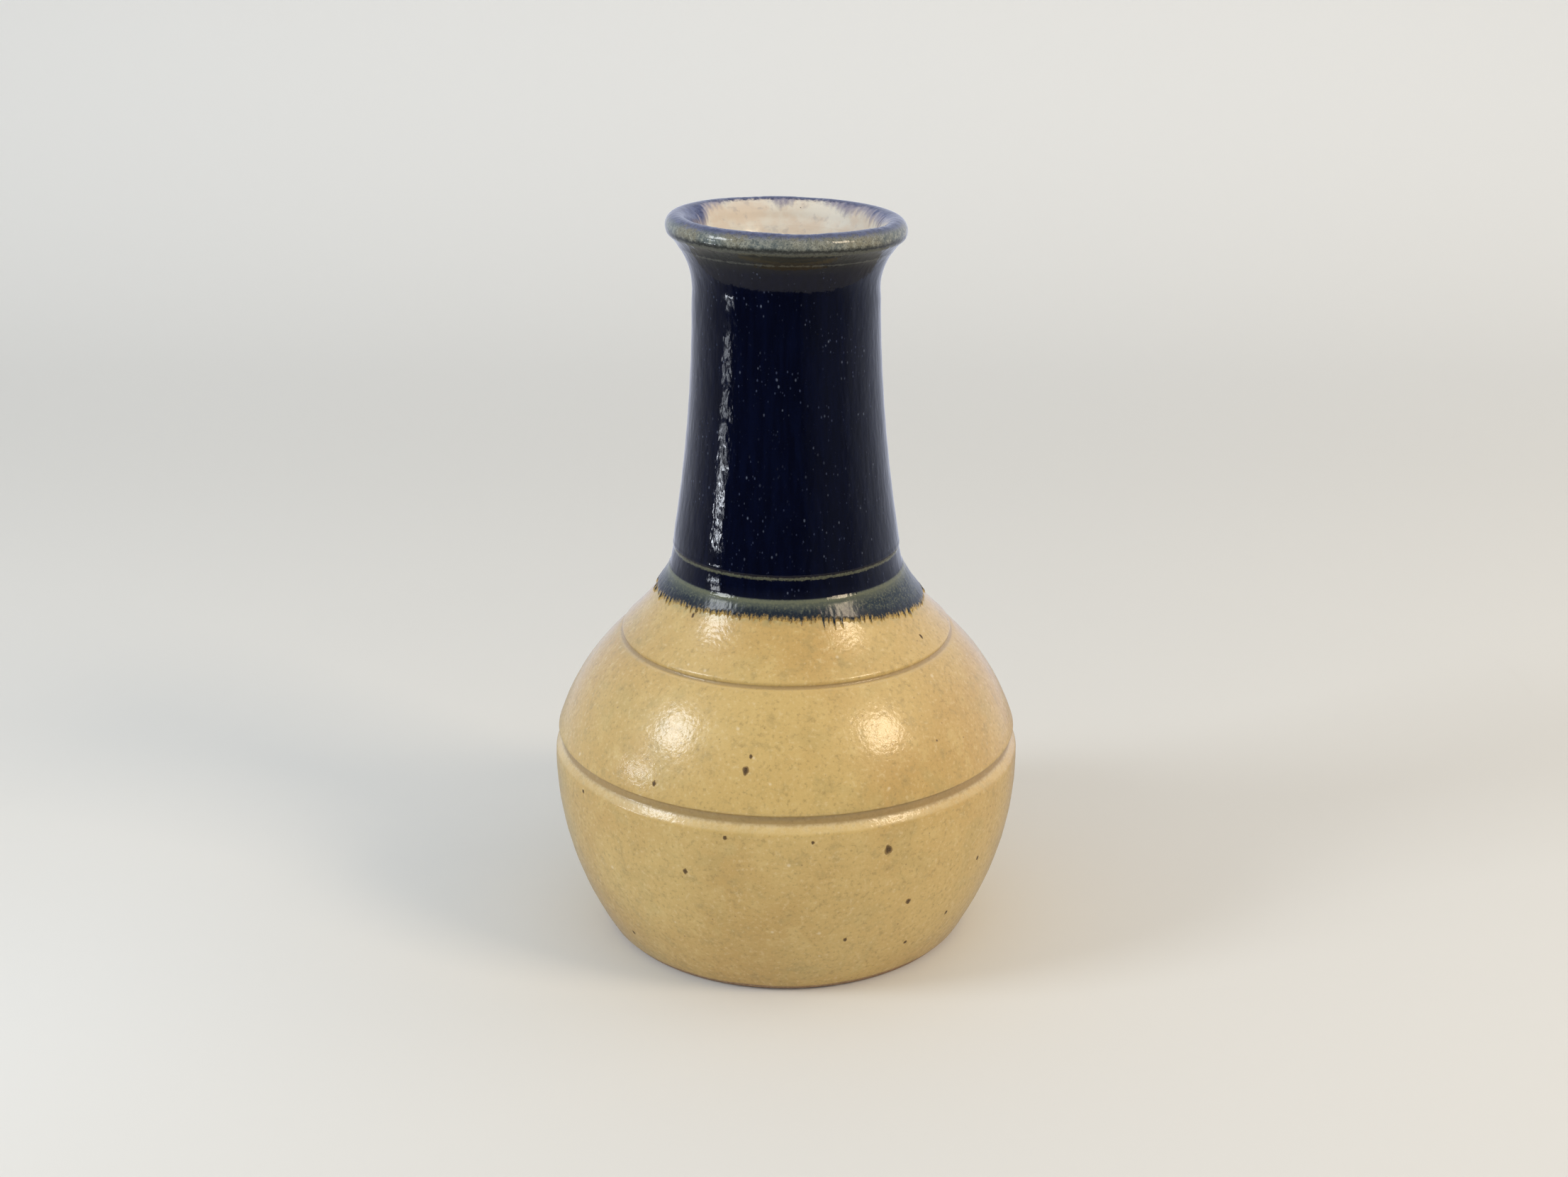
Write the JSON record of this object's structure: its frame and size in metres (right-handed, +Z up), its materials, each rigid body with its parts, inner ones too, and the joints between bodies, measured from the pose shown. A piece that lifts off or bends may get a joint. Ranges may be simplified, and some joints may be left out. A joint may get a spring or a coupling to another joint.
{
  "type": "bud vase",
  "caption": "Long-necked round stoneware bud vase with a rolled lip, tooled rings and a dark glaze on the neck over a straw glaze.",
  "frame": {"origin": "centre of the base, on the plane that the foot stands on", "axes": "+Z up along the axis of the pot; +X to the right and +Y away from someone who faces the side with the larger iron specks"},
  "size_m": [0.1003, 0.1004, 0.155],
  "materials": {
    "stoneware": "bare fired stoneware, matt, slightly gritty",
    "straw_glaze": "satin straw-coloured glaze with a fine orange-peel surface",
    "liner_glaze": "glossy cream liner glaze",
    "cobalt_glaze": "high-gloss dark cobalt glaze with fine pale flecks",
    "iron_spot": "dark brown melted iron, satin"
  },
  "bodies": {
    "root": {"stoneware_body": "stoneware", "straw_glaze_coat": "straw_glaze", "liner_glaze_coat": "liner_glaze", "cobalt_glaze_coat": "cobalt_glaze", "iron_specks": "iron_spot"}
  },
  "joints": []
}
